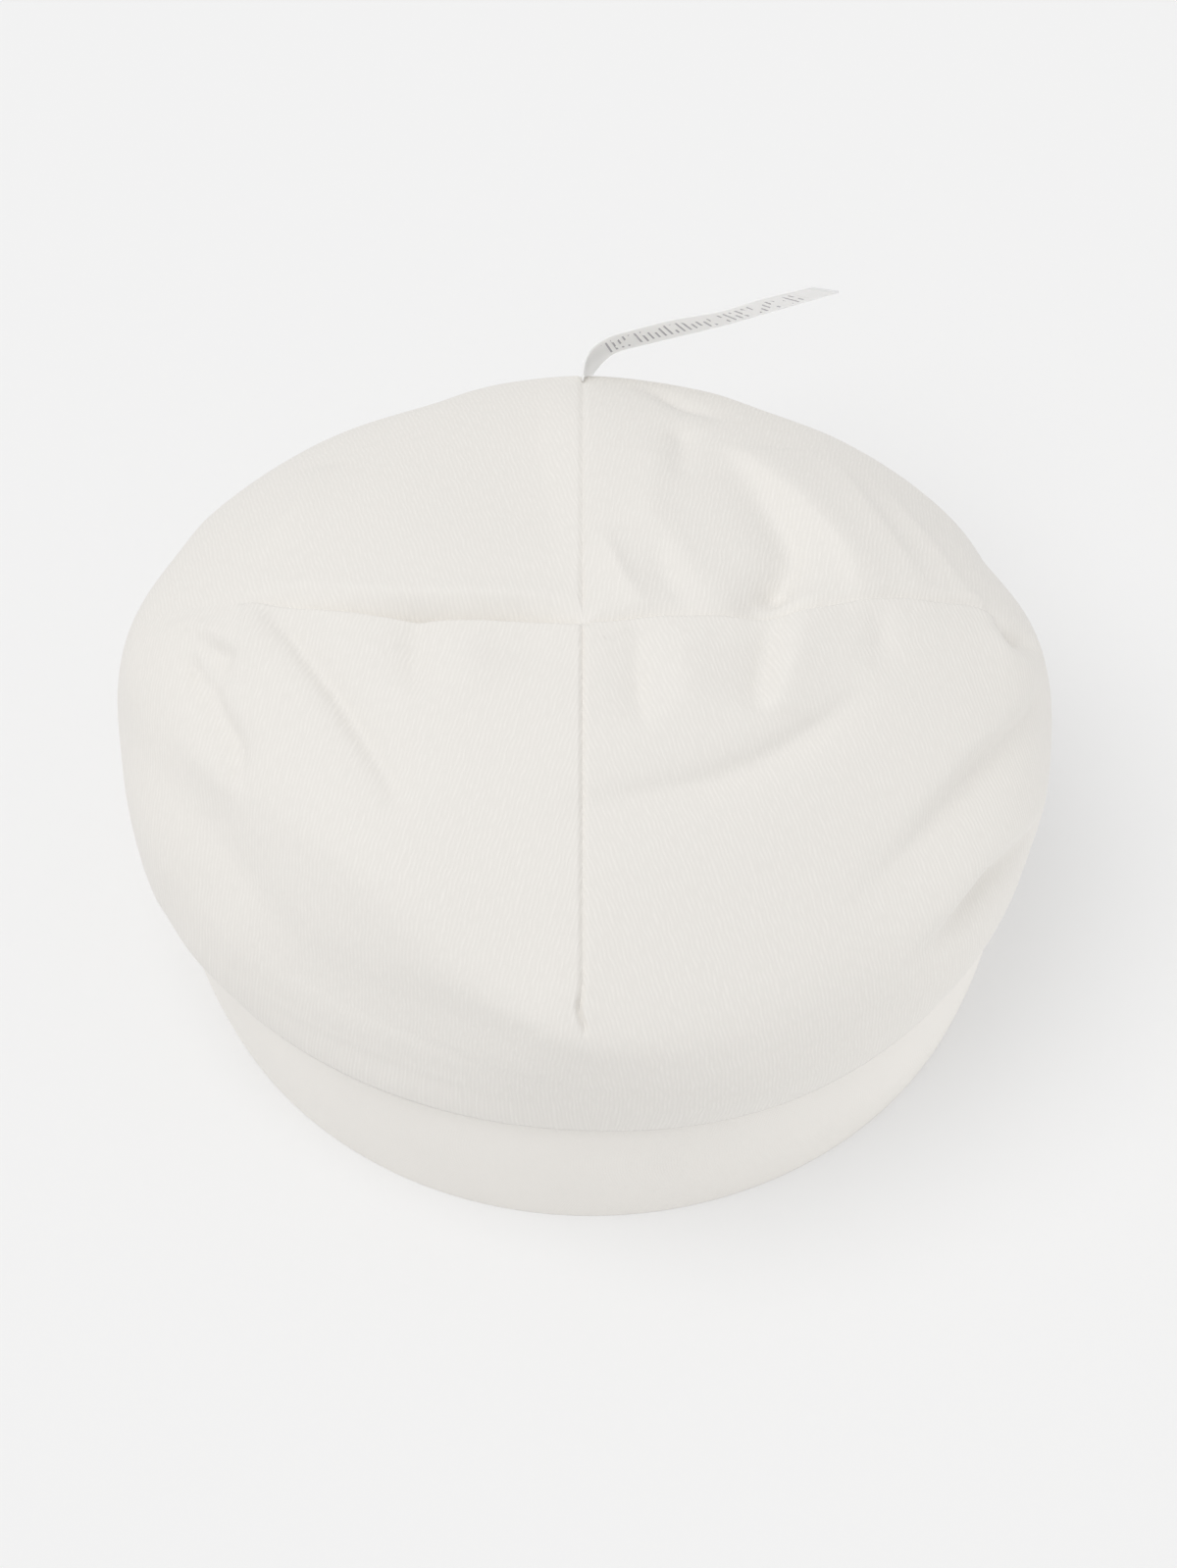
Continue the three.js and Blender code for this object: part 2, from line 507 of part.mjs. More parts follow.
const cap = new THREE.Group();
addPiece(cap, 'crown', crownGeometry(), JERSEY);
addPiece(cap, 'band', bandGeometry(), SMOOTH_JERSEY);
addPiece(cap, 'label', labelGeometry(), TAPE_SATIN);

// The cap stands with the middle of its box over the origin
const box = new THREE.Box3().setFromObject(cap);
const middle = box.getCenter(new THREE.Vector3());
cap.position.set(-middle.x, -middle.y, -box.min.z);

export default cap;
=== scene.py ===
"""Looks of a baby's jersey cap resting on its rim: the crown, the band and the care tape as cloth, with the
floor, light and camera. Sizes are in millimetres until mesh points are written, which is in metres.
A place on the crown is a turn (degrees round from +X, the front at 270) and a level (a row of SECTION_ROWS,
0 at the hem and 6 at the top, with parts of a row between)."""
import json
import math

import bpy
import numpy as np
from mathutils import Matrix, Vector, noise

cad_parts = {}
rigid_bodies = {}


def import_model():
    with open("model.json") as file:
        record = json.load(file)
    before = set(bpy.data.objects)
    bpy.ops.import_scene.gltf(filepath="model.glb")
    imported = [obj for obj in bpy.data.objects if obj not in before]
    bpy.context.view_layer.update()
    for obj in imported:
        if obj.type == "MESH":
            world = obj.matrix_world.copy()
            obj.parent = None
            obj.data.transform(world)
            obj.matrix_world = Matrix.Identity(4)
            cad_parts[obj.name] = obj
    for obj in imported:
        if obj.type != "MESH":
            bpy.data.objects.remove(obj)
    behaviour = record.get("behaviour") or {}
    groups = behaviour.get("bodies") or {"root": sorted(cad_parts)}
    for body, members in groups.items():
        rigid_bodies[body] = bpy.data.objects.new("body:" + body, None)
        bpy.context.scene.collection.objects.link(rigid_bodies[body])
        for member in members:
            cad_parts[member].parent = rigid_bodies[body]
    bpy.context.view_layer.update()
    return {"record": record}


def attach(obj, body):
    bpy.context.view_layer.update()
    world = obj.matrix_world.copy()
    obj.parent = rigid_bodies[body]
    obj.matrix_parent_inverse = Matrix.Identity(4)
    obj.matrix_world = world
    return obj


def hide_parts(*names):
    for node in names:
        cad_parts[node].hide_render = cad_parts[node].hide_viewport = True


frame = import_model()

MM = 0.001  # metres in a millimetre
TINY = 1e-9  # keeps a division clear of nought

# Cloth thicknesses: the crown, the band folded double, one ply of the band, and the tape, which is thinner
# than its solid in the frame. The gap is where the hem is sewn to the band.
CROWN_WALL = 1.4
BAND_WALL = 2.0
BAND_PLY = 0.9
TAPE_THICKNESS = 0.35
SEAT_GAP = 0.3

# Level sections of the crown, from the hem to the top. The reaches run from the point under the seams'
# crossing, mid_x and mid_y place the widest line, and power shapes the section: 2 is an ellipse, less is more
# of a diamond with its corners at the seams. The hem hangs a little lower than the frame's.
SECTION_COLUMNS = ("height", "side", "front", "back", "mid_x", "mid_y", "power")
SECTION_ROWS = (
    (32.0, 76.2, 69.8, 70.2, 1.0, 2.0, 2.15),
    (43.0, 81.5, 73.5, 74.5, 0.6, 4.0, 2.05),
    (54.0, 82.5, 73.5, 74.5, 0.0, 6.0, 1.92),
    (66.0, 78.0, 66.0, 67.5, 0.0, 7.0, 1.76),
    (77.0, 63.0, 47.5, 50.5, 0.0, 5.0, 1.58),
    (84.0, 37.0, 23.0, 25.0, 0.0, 2.0, 1.45),
    (86.5, 0.0, 0.0, 0.0, 0.0, 0.0, 1.45),
)
SECTIONS = {name: np.array(values) for name, values in zip(SECTION_COLUMNS, zip(*SECTION_ROWS))}
TOP_LEVEL = len(SECTION_ROWS) - 1
POLE_LEVEL = 5.96  # the last row of points below the top
PATH_TOP = TOP_LEVEL - 1e-6  # where a path to the top ends

# The band's foot on the surface, how far its top is tucked up inside the hem, how far its outer face swells,
# by how much its weight presses the fold at the foot flat, and the share of its height where the fold ends
FOOT = dict(side=72.0, front=68.5, back=70.0, mid_x=1.5)
BAND_TUCK = 4.0
BAND_BULGE = 1.2
BAND_PRESSED = 0.6
BAND_FOLD_SHARE = 0.04

# Seams and darts, from the crossing outwards: the cloth sinks by depth at the stitches, in a round roll so
# wide on its left and right, seen from outside. Each knot of a path is a turn, a level and the depth there.
SEAM_COLUMNS = ("left", "right", "path")
SEAMS = {
    "right dart": (2.6, 0.8, (
        (4, 6.0, 0.8), (5, 5.8, 1.0), (4, 5.6, 0.8), (3, 5.4, 0.8), (2.5, 5.2, 1.1), (3, 5.05, 1.5),
        (4, 4.85, 0.9), (5, 4.6, 0.6), (5.5, 4.3, 0.8), (5, 4.0, 0.7), (5, 3.75, 0.7), (4.5, 3.6, 0.6),
        (4, 3.45, 0.0))),
    "back seam": (1.0, 1.0, (
        (90, 6.0, 0.6), (90, 4.0, 0.5), (90, 3.2, 0.35), (90, 2.0, 0.4), (90, 0.0, 0.4))),
    "left dart": (0.9, 5.0, (
        (176, 6.0, 1.2), (176, 5.85, 2.2), (177, 5.65, 3.0), (178, 5.45, 3.2), (178, 5.25, 3.2),
        (177, 5.0, 2.8), (176, 4.78, 2.2), (175.5, 4.5, 1.4), (175.5, 4.25, 1.0), (175.5, 4.1, 0.0))),
    "front dart": (1.0, 0.8, (
        (270, 6.0, 0.6), (270, 5.0, 0.65), (270, 4.0, 0.65), (270, 3.3, 0.8), (269.5, 3.08, 1.3),
        (270.2, 2.9, 1.0), (270.4, 2.78, 0.0))),
}
SEAM_ROUND = 1.3  # 1 is a straight slope down to the stitches, and more is rounder

# Puckers that the stitches make beside a seam: their height, their length along it, how far they reach from
# it and over what distance they rise, how far those on its left lag, and how unevenly they come
PUCKER_LIFT = 0.08
PUCKER_LENGTH = 6.5
PUCKER_REACH = 4.0
PUCKER_RISE = 2.0
PUCKER_LAG = 2.1
PUCKER_UNEVEN = 1.3
PUCKER_UNEVEN_LENGTH = 11.0

# Folds and dents: left and right are a fold's half widths on the two sides of its path, seen from outside,
# and round is 1 for a soft swell and near 0 for a sharp crease. Each knot of a path is a turn, a level and
# the lift there: the height of a ridge or, below zero, the depth of a valley.
FOLD_COLUMNS = ("left", "right", "round", "path")
FOLDS = {
    "roll behind the left dart": (3.5, 3.5, 0.8, (
        (172, 4.7, 0.3), (170, 5.02, 0.6), (166, 5.3, 0.8), (155, 5.54, 0.7), (124, 5.76, 0.2))),
    "dip before the left dart": (4.5, 4.5, 1.0, ((192, 5.44, -0.5), (209, 5.62, -0.9), (235, 5.7, -0.6))),
    "crease before the left dart": (4.0, 5.0, 0.2, (
        (180, 5.26, -1.6), (190, 5.16, -2.6), (201, 5.02, -2.0), (211, 4.88, 0.0))),
    "bump before the left dart": (5.0, 5.0, 0.8, ((186, 5.46, 0.4), (208, 5.26, 0.7), (222, 5.08, 0.0))),
    "crease from the left tip": (5.5, 1.9, 0.25, (
        (176, 4.3, 0.0), (181, 4.48, -1.8), (189, 4.54, -2.4), (198, 4.52, -2.6), (206, 4.46, -2.6),
        (216, 4.36, -2.2), (225, 4.24, -1.5), (233, 4.06, 0.0))),
    "left ear edge": (5.0, 1.6, 0.35, (
        (174, 4.22, 0.6), (178, 4.24, 1.3), (182, 4.24, 1.4), (186, 4.14, 1.0), (189, 3.98, 0.0))),
    "left ear crescent": (2.6, 1.2, 0.3, (
        (179, 3.45, 0.2), (178.5, 3.68, 0.7), (180, 3.88, 1.0), (182, 4.02, 1.1), (184, 4.12, 0.6))),
    "left ear crease": (0.8, 1.4, 0.25, (
        (182, 3.84, -0.2), (183.2, 3.92, -0.5), (185, 4.03, -0.7), (186.5, 4.1, -0.2))),
    "left ear pocket": (3.0, 3.0, 0.8, ((186, 3.86, -0.8), (187, 3.93, -1.4), (189, 3.86, -1.0))),
    "left lobe edge": (1.4, 2.0, 0.4, ((184, 3.78, 0.5), (186, 3.81, 1.0), (188, 3.81, 0.6))),
    "left lobe dent": (1.6, 1.6, 0.5, ((184, 3.69, -0.5), (186, 3.71, -1.1), (188, 3.68, -0.6))),
    "left ear valley": (2.4, 4.0, 0.45, (
        (186, 3.8, -1.2), (189, 3.76, -1.9), (195, 3.74, -2.1), (201, 3.7, -2.0), (205, 3.54, -1.3),
        (207, 3.4, 0.0))),
    "left lobe": (3.5, 3.5, 0.7, ((198, 3.3, 0.6), (204, 3.42, 1.2))),
    "left fold valley": (10.0, 10.0, 0.8, (
        (188, 2.38, -1.8), (197, 2.76, -2.8), (207, 2.88, -3.0), (214, 2.82, -2.4), (221, 2.66, -1.2),
        (228, 2.45, 0.0))),
    "left front hollow": (17.0, 26.0, 0.9, (
        (196, 2.8, 0.0), (202, 2.82, -0.9), (209, 2.76, -2.8), (217, 2.55, -5.0), (227, 2.36, -6.4),
        (240, 2.38, -6.6), (249, 2.46, -6.0), (257, 2.46, -4.4), (265, 2.4, -2.4), (274, 2.3, -0.9),
        (284, 2.2, 0.0))),
    "left panel edge": (12.0, 8.0, 0.8, (
        (206, 3.6, 0.0), (214, 3.66, 1.0), (224, 3.66, 2.2), (234, 3.6, 2.9), (243, 3.46, 2.8),
        (251, 3.27, 1.8), (258, 3.1, 0.6), (263, 3.0, 0.0))),
    "left hem bulge": (8.0, 8.0, 1.0, (
        (184, 0.5, 0.0), (194, 0.52, 0.8), (202, 0.5, 1.9), (210, 0.38, 2.6), (218, 0.28, 2.0),
        (226, 0.22, 0.8), (234, 0.2, 0.0))),
    "right back shoulder": (9.0, 9.0, 1.0, (
        (48, 3.0, 0.0), (36, 2.95, -1.0), (26, 2.9, -1.6), (16, 2.85, -1.5), (8, 2.8, -0.6), (0, 2.8, 0.0))),
    "low front hollow": (10.0, 20.0, 1.0, (
        (218, 1.7, 0.0), (226, 1.7, -1.0), (234, 1.7, -1.6), (242, 1.65, -2.2), (250, 1.55, -2.6),
        (258, 1.45, -2.7), (266, 1.4, -2.6), (274, 1.35, -1.8), (284, 1.3, -0.9), (296, 1.3, 0.0))),
    "low right hollow": (8.0, 12.0, 1.0, (
        (292, 1.5, 0.0), (300, 1.45, -1.2), (307, 1.4, -1.8), (314, 1.2, -1.6), (322, 1.1, 0.0))),
    "crest at the front tip": (11.0, 6.5, 0.5, (
        (238, 3.1, 0.0), (246, 3.14, 0.9), (254, 3.08, 2.0), (260, 3.0, 2.8), (264, 2.92, 3.2),
        (268, 2.78, 3.1), (273, 2.66, 2.2), (281, 2.55, 1.2), (291, 2.48, 0.5), (305, 2.44, 0.0))),
    "valley right of the crossing": (2.2, 5.0, 0.15, (
        (359, 5.78, -0.5), (327, 5.6, -1.5), (308, 5.38, -2.0), (299, 5.16, -1.4), (295, 4.96, 0.0))),
    "ridge right of the crossing": (6.0, 4.0, 0.6, (
        (359, 5.58, 0.4), (337, 5.4, 0.8), (322, 5.16, 0.9), (313, 4.9, 0.0))),
    "stripe before the right dart": (2.0, 5.0, 0.15, (
        (359, 5.12, -1.2), (351, 5.08, -2.2), (342, 4.98, -2.4), (333, 4.84, -1.6), (327, 4.74, 0.0))),
    "knob before the right dart": (6.0, 3.0, 0.4, (
        (360, 4.98, 0.8), (352, 4.94, 1.2), (343, 4.84, 1.5), (334, 4.72, 1.2), (329, 4.64, 0.0))),
    "curved front valley": (3.5, 5.5, 0.4, (
        (272, 4.56, -0.8), (288, 4.56, -1.6), (302, 4.5, -2.0), (315, 4.46, -2.2), (328, 4.43, -2.1),
        (338, 4.4, -1.3), (347, 4.36, 0.0))),
    "dip under the right dart": (3.5, 3.5, 0.6, ((360, 4.52, -0.8), (355, 4.46, -0.9), (348, 4.38, 0.0))),
    "right fold crest": (2.4, 6.0, 0.4, (
        (357, 2.7, 0.6), (345, 3.26, 1.3), (339, 3.38, 1.2), (331, 3.42, 0.7), (321, 3.4, 0.0))),
    "right fold valley": (7.0, 3.4, 0.5, (
        (355, 2.7, -2.2), (342, 3.14, -3.2), (334, 3.22, -3.0), (325, 3.2, -2.1), (317, 3.18, -1.1),
        (308, 3.1, 0.0))),
    "lower right crest": (2.4, 7.0, 0.4, (
        (345, 1.8, 0.6), (334, 2.34, 1.5), (326, 2.4, 1.3), (320, 2.38, 0.7), (312, 2.3, 0.0))),
    "lower right hollow": (6.0, 3.0, 0.6, (
        (341, 1.6, -2.0), (332, 2.05, -3.4), (325, 2.1, -2.8), (315, 2.1, 0.0))),
    "right ear edge": (2.0, 5.0, 0.4, (
        (6, 3.6, 0.6), (3, 3.55, 1.0), (-1, 3.42, 1.2), (-1, 3.2, 0.8), (0, 2.85, 0.2))),
    "right ear pocket": (2.2, 2.2, 0.5, (
        (4, 3.5, -0.6), (2, 3.42, -1.5), (1, 3.25, -2.4), (2, 2.95, -1.5), (3, 2.7, 0.0))),
    "ridge behind the right dart": (9.0, 3.0, 0.5, (
        (56, 3.85, 0.0), (50, 4.02, 1.1), (31, 4.25, 1.9), (17, 4.4, 1.9), (8, 4.52, 1.1))),
    "hollow behind the right dart": (3.0, 6.0, 0.6, (
        (54, 4.12, -0.5), (46, 4.24, -1.2), (36, 4.42, -1.9), (27, 4.56, -2.3), (20, 4.7, -2.6),
        (13, 4.94, -2.4))),
    "pocket in the right dart": (3.0, 3.0, 0.6, ((13, 4.88, -1.4), (10, 5.0, -2.4), (7, 5.16, -1.8))),
    "back right pleat": (2.2, 5.0, 0.5, ((43, 3.4, 0.0), (33, 3.72, 0.7), (21, 3.96, 0.8), (8, 4.08, 0.3))),
    "back right small pleat": (2.2, 3.5, 0.5, (
        (33, 3.35, 0.0), (23, 3.58, 0.6), (13, 3.68, 0.6), (7, 3.7, 0.2))),
    "streak beside the back seam": (2.5, 2.5, 0.5, (
        (80, 5.12, 0.0), (72, 5.34, 0.9), (54, 5.53, 1.3), (20, 5.68, 0.8))),
    "hollow beside the streak": (3.0, 3.0, 0.7, ((56, 5.05, -0.4), (36, 5.34, -0.9), (10, 5.5, -0.7))),
    "back right swell": (4.5, 4.5, 0.8, ((70, 4.4, 0.5), (63, 4.88, 0.9), (40, 5.18, 0.9), (21, 5.26, 0.4))),
    "back right hollow": (3.0, 3.0, 0.7, ((67, 4.02, -1.3), (63, 4.36, -0.7))),
    "back right dent": (3.0, 3.0, 0.7, ((77, 3.24, -1.0), (71, 3.44, -1.6), (65, 3.52, -0.8))),
    "back left ridge": (4.0, 4.0, 0.5, (
        (140, 3.45, 0.0), (144, 3.6, 0.8), (152, 3.82, 1.2), (158, 3.9, 0.8), (166, 3.95, 0.0))),
    "dip beside the back seam": (22.0, 5.0, 0.8, (
        (112, 5.35, -0.8), (105, 4.9, -2.0), (102, 4.3, -2.8), (100, 3.8, -2.0), (99, 3.3, -0.8),
        (98, 2.8, 0.0))),
    "back right drape": (8.0, 8.0, 0.8, ((64, 2.9, 0.0), (58, 2.0, -2.0), (54, 1.2, -2.0), (52, 0.5, 0.0))),
    "back left drape": (8.0, 8.0, 0.8, (
        (112, 3.0, 0.0), (118, 2.1, -1.8), (122, 1.2, -1.8), (124, 0.5, 0.0))),
    "left side drape": (8.0, 8.0, 0.8, (
        (158, 2.8, 0.0), (162, 2.0, -1.8), (166, 1.1, -1.8), (167, 0.4, 0.0))),
    "right side drape": (8.0, 8.0, 0.8, ((24, 2.8, 0.0), (19, 2.0, -1.8), (16, 1.1, -1.8), (14, 0.4, 0.0))),
}
FOLD_REACH = (1.5, 4.0)  # half widths from its path between which a fold runs out
PATH_SAMPLES = 6  # steps from one knot of a path to the next

# Levels above the hem over which seams and folds die out, and the share of a fold that the hem keeps
HEM_CALM = 0.7
HEM_SHARE = 0.45

# Unevenness of soft cloth that no fold explains: its height and its length
SLACK_LIFT = 0.25
SLACK_LENGTH = 26.0

# The care tape: sewn along the back seam between two levels, it stands out, bends to the right and runs on
# nearly straight. Its width starts along the seam and turns from there: tilt is its slope down to the back,
# lean its turn to the right, each at so many millimetres from the root. Further on its upper edge sags.
TAPE = dict(
    width=24.0, stand=1.0, bend=9.0, bend_turn=75.5, run=38.5,
    seam_top=3.2, seam_low=0.5, root_gap=0.35,
)
TAPE_STRAIGHTENS = 10.0
TAPE_TILT = ((10, 58.0), (30, 58.0), (51, 53.3))
TAPE_LEAN = ((0, 0.0), (10, 0.075), (26, 0.155), (51, 0.27))
TAPE_SAG = 0.8
TAPE_SAG_AT = 33.0
TAPE_SAG_LENGTH = 7.0

# The rib's wales run nearly from the back to the front over the whole top. In each panel, in the seams'
# order, they head so many degrees off that way, towards +X as they come forward.
WALE_HEADINGS = dict(back_right=-9, back_left=15, front_left=-17, front_right=22)

# Fineness of the cloth meshes. Near a seam the crown's columns stand closer, by the first share, within the
# second share of a panel. Its inner face is smoothed in so many rounds, and keeps a share of its triangles.
COLUMNS_PER_PANEL = 150
SEAM_CLOSENESS = 0.3
SEAM_CLOSE_SHARE = 0.14
CROWN_ROWS = 140
INNER_SMOOTHING = 24
INNER_SHARE = 0.08
BAND_COLUMNS = 240
BAND_STRAIGHT_ROWS = 26
BAND_FOLD_ROWS = 9
TAPE_STEPS = 64
TAPE_COLUMNS = 20

# Points at which lengths along the cloth are measured, and how close two edges lie that are sewn together
LEVEL_SAMPLES = 2000
SEAM_SAMPLES = 600
SEWN_WITHIN = 0.001

# The camera stands in front and looks down, at the photograph's frame
PHOTO_WIDTH = 1200
PHOTO_HEIGHT = 1599
VIEW_ELEVATION = 57.0
VIEW_DISTANCE = 900.0
VIEW_TARGET = (1.0, -0.6, 36.0)
VIEW_MM_PER_PIXEL = 0.175
SENSOR_WIDTH = 36.0

# The surround's brightness at the horizon, and how much it grows up to overhead
SURROUND = 0.622
SURROUND_RISE = 0.15

# The key light comes from above and a little from the left
KEY_HEADING = (0.35, 0.10, -0.93)
KEY_SPREAD = 46.0
KEY_ENERGY = 0.92

# A low card that stands off to the right and lightens the cap's shaded side, but not the floor: its middle,
# its sides and its energy
CARD_PLACE = (210.0, -110.0, 24.0)
CARD_SIZE = (160.0, 40.0)
CARD_ENERGY = 0.042

# The floor's side, and its own glow, as a well lit sweep has
FLOOR_SIDE = 6000.0
FLOOR_GLOW = 0.235

# The mix node's two colour inputs and its colour output, by number, because their names aren't theirs alone
MIX_FIRST, MIX_SECOND, MIX_RESULT = 6, 7, 2

# The rest mount lies at the front of the foot, in the middle of the fold: it places the crossing in the frame
REST = next(mount for mount in frame["record"]["mounts"] if mount["name"] == "rim_rest")
CROSSING = np.array([
    REST["pos_m"][0] / MM - FOOT["mid_x"],
    REST["pos_m"][1] / MM + FOOT["front"] - BAND_WALL / 2,
    0.0,
])


def smooth_step(value, low, high):
    share = np.clip((value - low) / (high - low), 0.0, 1.0)
    return share * share * (3 - 2 * share)


def spline(values, at):
    """A smooth curve through evenly numbered values, read at places between their numbers."""
    values = np.asarray(values, float)
    last = len(values) - 1
    row = np.clip(np.floor(at).astype(int), 0, last - 1)
    here, there = values[row], values[row + 1]
    before = np.where(row > 0, values[np.maximum(row - 1, 0)], 2 * here - there)
    after = np.where(row + 2 <= last, values[np.minimum(row + 2, last)], 2 * there - here)
    t = at - row
    slope = (there - before) * t
    bow = (2 * before - 5 * here + 4 * there - after) * t**2
    twist = (3 * here - before - 3 * there + after) * t**3
    return here + 0.5 * (slope + bow + twist)


def crown_point(turn, level):
    """Places on the plain crown, without its seams and folds."""
    turn, level = np.broadcast_arrays(np.asarray(turn, float), np.asarray(level, float))
    across, along = np.cos(np.radians(turn)), np.sin(np.radians(turn))
    height, side, front, back, mid_x, mid_y, power = (
        spline(SECTIONS[name], level) for name in SECTION_COLUMNS
    )
    depth = np.maximum(np.where(along > 0, back - mid_y, front + mid_y), TINY)
    spread = np.abs(across / np.maximum(side, TINY)) ** power + np.abs(along / depth) ** power
    radius = spread ** (-1 / power)
    return np.stack([mid_x + radius * across, mid_y + radius * along, height], axis=-1)


def crown_normal(turn, level):
    """The plain crown's outward normals."""
    turn_step, level_step, highest = 0.5, 0.02, 5.9
    level = np.minimum(level, highest)
    upper = crown_point(turn, np.minimum(level + level_step, highest))
    lower = crown_point(turn, np.maximum(level - level_step, 0))
    round_way = crown_point(turn + turn_step, level) - crown_point(turn - turn_step, level)
    normal = np.cross(round_way, upper - lower)
    return normal / np.linalg.norm(normal, axis=-1, keepdims=True)


def lay_path(knots):
    """A path's knots as a fine line of points on the plain crown, with the knots' third value and the length
    up to each point."""
    shares = np.linspace(0, len(knots) - 1, (len(knots) - 1) * PATH_SAMPLES + 1)
    turns, levels, values = (spline(column, shares) for column in zip(*knots))
    points = crown_point(turns, np.minimum(levels, PATH_TOP))
    steps = np.linalg.norm(np.diff(points, axis=0), axis=1)
    return points, values, np.concatenate([[0.0], np.cumsum(steps)])


def nearest_on_path(laid, points, normals):
    """For each point: its distance from a laid path, the path's value and length there, and which side it is
    on, from 0 on the right to 1 on the left."""
    line, values, lengths = laid
    nearest = np.full(len(points), np.inf)
    value, along, side = (np.zeros(len(points)) for _ in range(3))
    for index in range(len(line) - 1):
        step = line[index + 1] - line[index]
        share = np.clip((points - line[index]) @ step / (step @ step), 0, 1)
        offset = points - line[index] - share[:, None] * step
        distance = np.maximum(np.linalg.norm(offset, axis=1), TINY)
        closer = distance < nearest
        leftward = np.cross(normals, step / np.linalg.norm(step))
        side = np.where(closer, 0.5 + 0.5 * (leftward * offset).sum(axis=1) / distance, side)
        value = np.where(closer, values[index] + share * (values[index + 1] - values[index]), value)
        along = np.where(closer, lengths[index] + share * (lengths[index + 1] - lengths[index]), along)
        nearest = np.where(closer, distance, nearest)
    return nearest, value, along, side


def seam_lift(points, normals):
    """How far the seams draw the cloth in, with the small puckers that their stitches make."""
    sunk = np.zeros(len(points))
    puckers = np.zeros(len(points))
    for row in SEAMS.values():
        seam = dict(zip(SEAM_COLUMNS, row))
        distance, depth, along, side = nearest_on_path(lay_path(seam["path"]), points, normals)
        roll = seam["right"] + side * (seam["left"] - seam["right"])
        sunk = np.maximum(sunk, np.maximum(depth, 0) * (1 - np.minimum(distance / roll, 1)) ** SEAM_ROUND)
        phase = 2 * math.pi * along / PUCKER_LENGTH + PUCKER_LAG * side
        phase += PUCKER_UNEVEN * np.sin(along / PUCKER_UNEVEN_LENGTH)
        rise = smooth_step(distance, 0, PUCKER_RISE) * np.exp(-distance / PUCKER_REACH) * np.clip(depth, 0, 1)
        puckers += PUCKER_LIFT * np.sin(phase) * rise
    return puckers - sunk


def fold_lift(points, normals):
    """How far the folds lift the cloth, or sink it."""
    lift = np.zeros(len(points))
    for row in FOLDS.values():
        fold = dict(zip(FOLD_COLUMNS, row))
        laid = lay_path(fold["path"])
        line = laid[0]
        middle = line[len(line) // 2]
        widest = max(fold["left"], fold["right"])
        extent = np.linalg.norm(line - middle, axis=1).max() + FOLD_REACH[1] * widest
        near = np.linalg.norm(points - middle, axis=1) < extent
        distance, height, _, side = nearest_on_path(laid, points[near], normals[near])
        reach = distance / (fold["right"] + side * (fold["left"] - fold["right"]))
        fall = 1 / (math.hypot(1, fold["round"]) - fold["round"])
        profile = np.exp(-fall * (np.hypot(reach, fold["round"]) - fold["round"]))
        lift[near] += height * profile * (1 - smooth_step(reach, *FOLD_REACH))
    return lift


def slack_lift(points):
    return np.array([SLACK_LIFT * noise.noise(Vector(point) / SLACK_LENGTH) for point in points])


def cloth_point(turn, level, above=0.0):
    """Places on the finished crown, with its seams and folds."""
    turn, level = np.broadcast_arrays(np.asarray(turn, float), np.asarray(level, float))
    shape = turn.shape
    turn, level = turn.ravel(), level.ravel()
    points, normals = crown_point(turn, level), crown_normal(turn, level)
    freedom = smooth_step(level, 0, HEM_CALM)
    lift = (seam_lift(points, normals) + slack_lift(points)) * freedom + above
    lift += fold_lift(points, normals) * (HEM_SHARE + (1 - HEM_SHARE) * freedom)
    return (points + normals * lift[:, None]).reshape(*shape, 3)


def seam_turns(name, levels):
    """A seam's turn at each level. Below its end it keeps its last turn."""
    turn, level, _ = zip(*SEAMS[name][-1])
    return np.interp(-np.asarray(levels), -np.array(level), turn)


def column_turns(levels):
    """Turns of the crown's columns at each level: a panel runs from one seam to the next."""
    middles = (np.arange(COLUMNS_PER_PANEL) + 0.5) / COLUMNS_PER_PANEL
    spacing = smooth_step(np.minimum(middles, 1 - middles), 0, SEAM_CLOSE_SHARE)
    spacing = SEAM_CLOSENESS + (1 - SEAM_CLOSENESS) * spacing
    shares = (np.cumsum(spacing) - spacing) / spacing.sum()
    lines = [seam_turns(name, levels) for name in SEAMS]
    lines.append(lines[0] + 360)
    panels = [here + shares[:, None] * (there - here) for here, there in zip(lines, lines[1:])]
    return np.concatenate(panels + [lines[-1][None]])


def row_levels():
    """Levels of the crown's rows, evenly spaced along the cloth at the middle of a front panel."""
    panel_middle = 315.0
    levels = np.linspace(0, POLE_LEVEL, LEVEL_SAMPLES)
    steps = np.linalg.norm(np.diff(crown_point(panel_middle, levels), axis=0), axis=1)
    lengths = np.concatenate([[0.0], np.cumsum(steps)])
    wanted = np.linspace(0, lengths[-1], CROWN_ROWS - 1)
    return np.append(np.interp(wanted, lengths, levels), TOP_LEVEL)


def deselect():
    bpy.ops.object.select_all(action="DESELECT")


def flat_cloth(name, columns, rows):
    """A flat cloth of so many columns and rows of points, and the column and row of each point."""
    deselect()
    bpy.ops.mesh.primitive_grid_add(x_subdivisions=columns - 1, y_subdivisions=rows - 1, size=1)
    cloth = bpy.context.object
    cloth.name = cloth.data.name = name
    places = np.empty(len(cloth.data.vertices) * 3, np.float32)
    cloth.data.vertices.foreach_get("co", places)
    places = places.reshape(-1, 3) + 0.5  # the grid lies from 0 to 1 both ways
    column = np.rint(places[:, 0] * (columns - 1)).astype(int)
    row = np.rint(places[:, 1] * (rows - 1)).astype(int)
    return cloth, column, row


